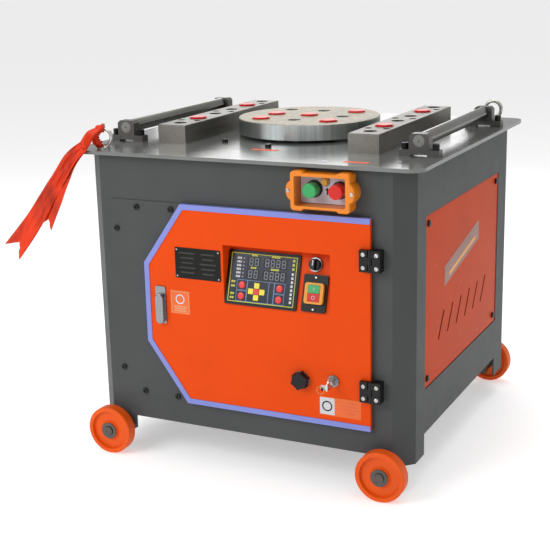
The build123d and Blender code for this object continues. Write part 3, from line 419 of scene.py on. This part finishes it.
# ---------------------------------------------------------------- faces that carry detail
DOOR_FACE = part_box("latch_base")[1][1]
PLATE_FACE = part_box("button_plate")[0][1]
TABLE_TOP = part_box("table_plate")[1][2]
BAY_DEPTH, BAY_RISE = 41, 134
BAY_TILT = atan2(BAY_DEPTH, BAY_RISE)
BAY_FOOT = 388    # height of the sloping bay's lower edge
BAY_TURN = Matrix(((1, 0, 0, 0), (0, sin(BAY_TILT), -cos(BAY_TILT), 0),
                   (0, cos(BAY_TILT), sin(BAY_TILT), 0), (0, 0, 0, 1)))
BAY = Matrix.Translation((0, DOOR_FACE, BAY_FOOT * MM)) @ BAY_TURN
door, plate, table = front(DOOR_FACE), front(PLATE_FACE), Matrix.Translation((0, 0, TABLE_TOP))

# ---------------------------------------------------------------- control panel print
PANEL_AT, PANEL_OUT = (51, 63), 4
panel = Piece("control_panel_print")


def on_panel(u, v):
    return PANEL_AT[0] + u, PANEL_AT[1] + v


panel.slab(BAY, on_panel(0, 0), 154, 103, PANEL_OUT, PANEL_OUT + 0.3, navy_print, 1)
panel.frame_line(BAY, on_panel(0, 0), 158, 107, 1.6, PANEL_OUT, PANEL_OUT + 0.5, lime_print)
FILM = PANEL_OUT + 0.3


def label(u, v, width, height, material, parts=3):
    """Row of short bars that stands for a printed word."""
    for i in range(parts):
        offset = (i - (parts - 1) / 2) * width / parts
        panel.slab(BAY, on_panel(u + offset, v), width / parts - 0.8, height, FILM, FILM + 0.25, material,
                   soft=0.05)


def digit(u, v, width, height):
    """Unlit seven-segment digit."""
    line = 1.5
    for level in (-1, 0, 1):
        panel.slab(BAY, on_panel(u, v + level * (height - line) / 2), width - line, line, FILM, FILM + 0.3,
                   grey_print, soft=0.05)
    for side in (-1, 1):
        for half in (-1, 1):
            panel.slab(BAY, on_panel(u + side * (width - line) / 2, v + half * height / 4), line,
                       height / 2 - line, FILM, FILM + 0.3, grey_print, soft=0.05)


SHORT_DISPLAY, LONG_DISPLAY = -23.5, 28    # middles of the displays with two and with four digits
WINDOW_STEP, DIGIT_STEP = 13.5, 13.2
for v in (36, 9):
    for middle, count in ((SHORT_DISPLAY, 2), (LONG_DISPLAY, 4)):
        panel.slab(BAY, on_panel(middle, v), WINDOW_STEP * count + 3, 21, FILM - 0.1, FILM + 0.1,
                   black_plastic, 1)
        for i in range(count):
            digit(middle + (i - (count - 1) / 2) * DIGIT_STEP, v, 9, 17)
    label(SHORT_DISPLAY, v + 14, 14, 4, lime_print)
    label(LONG_DISPLAY, v + 14, 20, 4, lime_print, 4)
for i in range(6):
    label(-59, 42 - 8 * i, 11, 4.6, white_print)
    panel.turn(BAY, on_panel(-47.5, 42 - 8 * i), [(2.2, FILM), (2.2, FILM + 0.5), (1.4, FILM + 0.9)],
               grey_print, 16)
for v in (-10, -19.5, -36, -45):
    label(-69, v, 10, 4.4, lime_print, 2)
for i in range(3):
    label(71, 46 - 9 * i, 6, 5.5, lime_print, 1)
for i in range(8):
    label(71, 17 - 8.6 * i, 6, 5.4, white_print, 1)
ROUND_KEY = [(7.8, FILM), (7.8, FILM + 0.6), (7, FILM + 1.1), (4, FILM + 1.3)]
for u in (-47, 43.5):
    for v in (-16, -40):
        panel.frame_line(BAY, on_panel(u, v), 25, 23, 0.8, FILM, FILM + 0.25, blue_print)
        panel.turn(BAY, on_panel(u, v), ROUND_KEY, red_key)
panel.frame_line(BAY, on_panel(-8, -28), 52, 47, 0.8, FILM, FILM + 0.25, blue_print)
panel.frame_line(BAY, on_panel(24, -28), 13, 47, 0.8, FILM, FILM + 0.2, blue_print)
CROSS_KEYS = ((0, 13, yellow_key), (-13.5, 0, yellow_key), (13.5, 0, yellow_key), (0, -13, yellow_key),
              (0, 0, red_key))
for u, v, material in CROSS_KEYS:
    panel.slab(BAY, on_panel(-11 + u, -28 + v), 12.4, 12, FILM, FILM + 0.9, material, 1, 0.3)
panel.done("door")

# ---------------------------------------------------------------- selector, switch, latch
SELECTOR_AT, SWITCH_AT, SWITCH_BOX = (172, 106), (177, 45), (178, 45)
trim = Piece("bay_trim")
trim.hoop(BAY, SELECTOR_AT, 12.4, 15.5, 0, 5.5, chrome)
for end in (-1, 1):
    trim.turn(BAY, (SWITCH_AT[0], SWITCH_AT[1] + end * 34), [(2.6, 5), (2.6, 6), (1.8, 6.6)], zinc, 20)
trim.done("door")
mark = Piece("selector_mark")
mark.slab(BAY, (SELECTOR_AT[0], SELECTOR_AT[1] + 3), 2.4, 12, 21, 21.3, white_print, 0.8)
mark.done("selector")
glyph = Piece("switch_off_glyph")
glyph.hoop(BAY, (SWITCH_BOX[0], SWITCH_BOX[1] - 9), 3, 4.2, 14, 14.3, white_print, 24)
glyph.done("switch_off")
glyph = Piece("switch_on_glyph")
glyph.slab(BAY, (SWITCH_BOX[0], SWITCH_BOX[1] + 9), 1.4, 7, 14, 14.3, white_print)
glyph.done("switch_on")

# ---------------------------------------------------------------- plates and stickers on the door
labels = Piece("door_labels")
labels.slab(door, (-99, 473), 114, 70, 0, 1.2, dark_plate, 3, 0.3)
for row in range(5):
    for column in range(2):
        width = 40 - 6 * ((row + column) % 3)
        labels.slab(door, (-125 + 52 * column, 496 - 11 * row), width, 3.4, 1.2, 1.5, plate_mark, soft=0.05)
for x in (-151, -47):
    for z in (443, 503):
        labels.turn(door, (x, z), [(2, 1.2), (2, 1.8), (1.2, 2.3)], zinc, 16)
labels.slab(door, (-148, 381), 49, 54, 0, 0.4, sticker_orange, 2, 0.1)
labels.frame_line(door, (-148, 381), 45, 50, 1, 0.4, 0.6, faded_print)
labels.hoop(door, (-148, 388), 8.5, 11.5, 0.4, 0.65, lavender, 28)
for row, width in enumerate((34, 28, 32)):
    labels.slab(door, (-148, 371 - 5 * row), width, 2, 0.4, 0.6, faded_print, soft=0.05)
labels.slab(door, (237, 187), 96, 42, 0, 0.4, sticker_orange, 1, 0.1)
labels.slab(door, (207, 187), 34, 38, 0.4, 0.6, white_print, 1, 0.05)
labels.hoop(door, (207, 187), 9, 12, 0.6, 0.8, dark_plate, 28)
for row, width in enumerate((48, 40, 50, 34)):
    labels.slab(door, (255, 200 - 8 * row), width, 3, 0.4, 0.6, table_sticker, soft=0.05)
labels.done("door")

key_tags = Piece("key_tags")
KEY_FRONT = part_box("key")[0][1] + 4 * MM
key_tags.hoop(front(KEY_FRONT), (206, 234), 7.5, 9, 0, 1.4, brass, 28)
key_tags.slab(front(KEY_FRONT + 2 * MM), (214, 240), 17, 11, 0.2, 1.4, white_print, 2, 0.2)
key_tags.slab(front(KEY_FRONT + 1 * MM), (209, 236), 5, 6, 0.2, 1.2, black_plastic, 1, 0.2)
key_tags.done("key")

cap_ring = Piece("cap_ring")
cap_ring.hoop(door, (147, 239), 17.8, 19.4, 0, 2.6, chrome)
cap_ring.done("door")

# ---------------------------------------------------------------- hinge screws
HINGE_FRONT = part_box("hinge_blocks_door")[0][1] + 1.5 * MM
HINGE_SCREW = [(4.7, -0.2), (4.7, 0.7), (3.6, 1.6), (2.4, 1.7), (2.2, 0.5)]
for body, upper_x, lower_x in (("door", 294.4, 294), ("cabinet", 323.5, 323)):
    screws = Piece(f"hinge_screws_{body}")
    for at in ((upper_x, 532), (upper_x, 504), (lower_x, 247), (lower_x, 220)):
        screws.turn(front(HINGE_FRONT), at, HINGE_SCREW, zinc, 24)
    screws.done(body)

# ---------------------------------------------------------------- guarded buttons
fittings = Piece("button_fittings")
for x in (180, 238):
    fittings.hoop(plate, (x, 658), 16, 18.2, 0, 6, black_plastic)
fittings.hoop(plate, (205, 674), 8.7, 10, 0, 2.5, grey_plastic, 28)
arrow = [(-1.6, -8), (1.6, -8), (1.6, 1), (5, 1), (0, 8), (-5, 1), (-1.6, 1)]
fittings.prism(plate, arrow, (208.5, 654), 0, 0.35, black_plastic, 0.1)
GUARD_SCREW = [(4.2, 0), (4.2, 1.2), (3.2, 2), (1.8, 2), (1.6, 0.8)]
for x in (134.5, 275.5):
    fittings.turn(front(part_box("button_guard")[0][1]), (x, 657), GUARD_SCREW, zinc, 24)
fittings.done("cabinet")

hubs = Piece("hub_washers")
for node_name in NODE_MATERIALS[wheel_pu]:
    low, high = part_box(node_name)
    x, z = (low[0] + high[0]) / 2, (low[2] + high[2]) / 2
    outward = front(low[1] - 0.9 * MM, x, z) if low[1] < 0 else back(high[1] + 0.9 * MM, x, z)
    hubs.hoop(outward, (0, 0), 11.3, 19.5, 0, 0.6, bracket_steel)
hubs.done("cabinet")

screens = Piece("vent_screens")
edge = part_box("side_panel_right")[0][0]
for side_x in (-1, 1):
    screens.slab(flank(side_x * (edge - 2.4 * MM), side_x), (0, 328), 380, 80, 0, 1.2, black_plastic)
screens.done("cabinet")

low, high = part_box("side_panel_right")
decal = Piece("side_decal")
run, rise = high[1] - low[1], high[2] - low[2]
BAND = ((0.24, 0.515), (0.71, 0.655), (0.71, 0.775), (0.24, 0.635))    # shares of the panel's sides
STRIPE = ((0.30, 0.56), (0.66, 0.667), (0.66, 0.69), (0.30, 0.583))
for corners, z0, z1, material, soft in ((BAND, 0, 0.3, sticker_grey, 0.1),
                                        (STRIPE, 0.3, 0.5, yellow_plastic, 0.05)):
    outline = [((low[1] + run * u) / MM, (low[2] + rise * v) / MM) for u, v in corners]
    decal.prism(flank(high[0], 1), outline, (0, 0), z0, z1, material, soft)
decal.done("cabinet")

# ---------------------------------------------------------------- table marks
marks = Piece("table_marks")
marks.slab(table, (10, -262), 64, 17, 0, 0.3, table_sticker, 1, 0.1)
marks.slab(table, (262, -350), 56, 14, 0, 0.3, table_sticker, 1, 0.1)
marks.slab(table, (194, -354), 16, 12, 0, 0.3, white_print, 1, 0.1)
marks.done("cabinet")

# ---------------------------------------------------------------- ribbon
RIBBON_Y = -403.5


def nurbs_line(points):
    """Smooth line through control points, read back from a NURBS spline."""
    data = bpy.data.curves.new("route", "CURVE")
    data.dimensions = "3D"
    data.resolution_u = 16
    spline = data.splines.new("NURBS")
    spline.points.add(len(points) - 1)
    for control, p in zip(spline.points, points):
        control.co = (*[c * MM for c in p], 1)
    spline.order_u = 3
    spline.use_endpoint_u = True
    holder = bpy.data.objects.new("route", data)
    bpy.context.scene.collection.objects.link(holder)
    line = bpy.data.meshes.new_from_object(holder)
    found = [v.co.copy() for v in line.vertices]
    bpy.data.objects.remove(holder)
    return found


def ribbon_tail(name, route, widths, notch, wave, cad_node):
    """Satin tail: a thin strip along the route that ripples across its width and ends in a swallow tail."""
    line = nurbs_line(route)
    count, across = len(line), 24
    mesh = bmesh.new()
    rows = []
    for i, p in enumerate(line):
        t = i / (count - 1)
        ahead = (line[min(i + 1, count - 1)] - line[max(i - 1, 0)]).normalized()
        side = ahead.cross(Vector((0, -1, 0))).normalized()
        spot = t * (len(widths) - 1)
        low = min(int(spot), len(widths) - 2)
        width = widths[low] + (widths[low + 1] - widths[low]) * (spot - low)
        row = []
        for j in range(across + 1):
            s = j / across * 2 - 1
            crease = (0.5 * sin(3.1 * s + 7 * t) + 0.4 * (1 - 2 * abs(sin(4.2 * s - 5 * t)))
                      + 0.15 * sin(16 * s + 13 * t))
            ripple = wave * crease * (min(1, 0.5 + 2.5 * t) - 0.35 * t)
            cut = notch * (1 - abs(s)) * max(0, (t - 0.8) / 0.2)
            row.append(mesh.verts.new(p + side * (s * width / 2 * MM) + Vector((0, ripple * MM, 0))
                                      - ahead * (cut * MM)))
        rows.append(row)
    for a, b in zip(rows, rows[1:]):
        for j in range(across):
            mesh.faces.new((a[j], a[j + 1], b[j + 1], b[j])).smooth = True
    made = mesh_object(name, mesh, [ribbon_satin])
    thick = made.modifiers.new("thick", "SOLIDIFY")
    thick.thickness = 0.5 * MM
    thick.offset = 0
    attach(made, "cabinet")
    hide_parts(cad_node)


LONG_ROUTE = ((-372, 722), (-402, 702), (-440, 650), (-480, 600), (-530, 530), (-592, 462))
SHORT_ROUTE = ((-374, 718), (-402, 694), (-436, 640), (-464, 585), (-492, 528))
ribbon_tail("ribbon_long", [(x, RIBBON_Y, z) for x, z in LONG_ROUTE], (24, 34, 34, 38, 46, 52), 34, 6,
            "ribbon_tail_long")
ribbon_tail("ribbon_short", [(x, RIBBON_Y + 3.5, z) for x, z in SHORT_ROUTE], (20, 26, 30, 34, 32), 22, 2.5,
            "ribbon_tail_short")


EYE_AT, EYE_TURN, EYE_RADIUS = (-347, -355, 738), 25, 20    # front-left eye: middle, degrees, wire radius


def ribbon_wrap(name, start, sweep, cad_node):
    """Gathered ribbon round the eye's wire and the neck that runs to the tails."""
    ring = Matrix.Translation([c * MM for c in EYE_AT]) @ Matrix.Rotation(radians(EYE_TURN), 4, "Z")
    mesh = bmesh.new()
    steps, around = 40, 20
    rows = []
    for i in range(steps + 1):
        a = radians(start + sweep * i / steps)
        centre = Vector((EYE_RADIUS * cos(a), 0, EYE_RADIUS * sin(a)))
        radial = Vector((cos(a), 0, sin(a)))
        row = []
        for j in range(around):
            b = 2 * pi * j / around
            r = 9 + 1.2 * sin(i * 0.9 + 2 * b) + 0.7 * sin(5 * b + i)
            spot = centre + radial * (r * cos(b)) + Vector((0, r * sin(b), 0))
            row.append(mesh.verts.new(ring @ (spot * MM)))
        rows.append(row)
    tube(mesh, rows)
    neck = nurbs_line([(-358, -360, 752), (-364, -374, 747), (-369, -390, 738), (-376, RIBBON_Y + 1, 720)])
    rows = []
    for i, p in enumerate(neck):
        t = i / (len(neck) - 1)
        row = []
        for j in range(around):
            b = 2 * pi * j / around
            r = (9 + 3.5 * t) * (1 + 0.16 * sin(3 * b + 4 * t) + 0.08 * sin(7 * b))
            row.append(mesh.verts.new(p + Vector((r * cos(b), -0.25 * r * cos(b), r * sin(b))) * MM))
        rows.append(row)
    tube(mesh, rows)
    bmesh.ops.recalc_face_normals(mesh, faces=mesh.faces)
    made = mesh_object(name, mesh, [ribbon_satin])
    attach(made, "cabinet")
    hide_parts(cad_node)


ribbon_wrap("ribbon_knot", 85, 165, "ribbon_wrap")


# ---------------------------------------------------------------- stage, light and camera
floor_mesh = bpy.data.meshes.new("floor")
floor_mesh.from_pydata([(-30, -30, 0), (30, -30, 0), (30, 30, 0), (-30, 30, 0)], [], [(0, 1, 2, 3)])
floor = bpy.data.objects.new("floor", floor_mesh)
floor_mesh.materials.append(shader("floor", (0.82, 0.82, 0.82), 0.85, Emission_Color=(1, 1, 1, 1),
                                   Emission_Strength=0.42)[0])
bpy.context.scene.collection.objects.link(floor)


def softbox(name, place, target, width, height, power, color=(1, 1, 1)):
    data = bpy.data.lights.new(name, "AREA")
    data.shape, data.size, data.size_y, data.energy, data.color = "RECTANGLE", width, height, power, color
    lamp = bpy.data.objects.new(name, data)
    lamp.location = place
    lamp.rotation_euler = (Vector(target) - Vector(place)).to_track_quat("-Z", "Y").to_euler()
    bpy.context.scene.collection.objects.link(lamp)


softbox("key", (-1.8, -3.0, 2.4), (0, 0, 0.4), 2.4, 2.0, 74)
softbox("fill", (3.4, -0.6, 2.6), (0, 0, 0.4), 1.6, 1.6, 10)
softbox("back", (-1.35, 3.0, 1.5), (0, 0, 0.7), 1.6, 1.0, 9)
softbox("overhead", (0.2, 0.6, 3.2), (0, 0, 0.5), 2.6, 2.6, 50)
world = bpy.data.worlds.new("studio")
world.use_nodes = True
world.node_tree.nodes["Background"].inputs["Color"].default_value = (1, 1, 1, 1)
world.node_tree.nodes["Background"].inputs["Strength"].default_value = 0.5
bpy.context.scene.world = world
bpy.context.scene.view_settings.view_transform = "Standard"

AZIMUTH, PITCH, ROLL = radians(26.2), radians(15.0), radians(-1.354)
CAMERA_AT = (1.1717, -2.5871, 1.1238)
FOCAL_LENGTH, SENSOR_WIDTH = 78.06, 36    # millimetres
backward = Vector((sin(AZIMUTH) * cos(PITCH), -cos(AZIMUTH) * cos(PITCH), sin(PITCH)))
level = Vector((cos(AZIMUTH), sin(AZIMUTH), 0))
upright = backward.cross(level)
rightward = level * cos(ROLL) + upright * sin(ROLL)
upward = upright * cos(ROLL) - level * sin(ROLL)
lens = bpy.data.cameras.new("camera")
lens.lens, lens.sensor_width, lens.sensor_fit = FOCAL_LENGTH, SENSOR_WIDTH, "HORIZONTAL"
lens.dof.use_dof = False
camera = bpy.data.objects.new("camera", lens)
camera.matrix_world = Matrix.Translation(CAMERA_AT) @ Matrix((rightward, upward, backward)).transposed().to_4x4()
bpy.context.scene.collection.objects.link(camera)
bpy.context.scene.camera = camera
